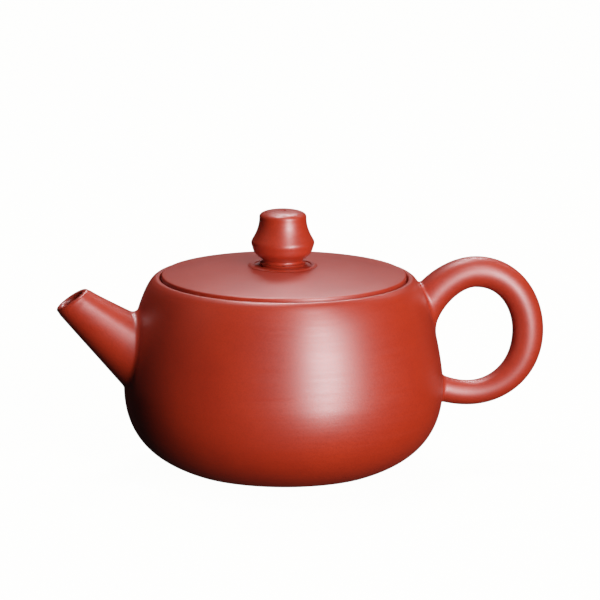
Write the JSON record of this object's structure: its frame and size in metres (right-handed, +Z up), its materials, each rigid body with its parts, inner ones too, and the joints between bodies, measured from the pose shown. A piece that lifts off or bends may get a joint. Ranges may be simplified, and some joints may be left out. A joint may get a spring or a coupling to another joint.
{
  "type": "teapot",
  "caption": "Low round red clay teapot with a straight tapered spout, a ring handle, an inset lift-off lid and a waisted knob.",
  "frame": {"origin": "centre of the flat base, on the surface the pot stands on", "axes": "+Z up along the pot's turning axis; -X towards the spout, +X towards the handle; +Y completes the right-handed frame"},
  "size_m": [0.1295, 0.0846, 0.0687],
  "materials": {
    "burnished_clay": "unglazed red stoneware, burnished to a satin sheen",
    "unburnished_clay": "unglazed red stoneware, matt as trimmed"
  },
  "bodies": {
    "pot": {"body_wall": "burnished_clay", "base_disc": "unburnished_clay", "shoulder_disc": "burnished_clay", "mouth_ledge": "unburnished_clay", "spout": "burnished_clay", "strainer": "unburnished_clay", "handle": "burnished_clay"},
    "lid": {"lid_disc": "burnished_clay", "lid_flange": "unburnished_clay", "knob_seat": "burnished_clay", "knob": "burnished_clay"}
  },
  "joints": [
    {"name": "lid_lift", "type": "slide", "parent": "pot", "child": "lid", "axis": [0, 0, 1], "range_m": [0, 0.06]}
  ]
}
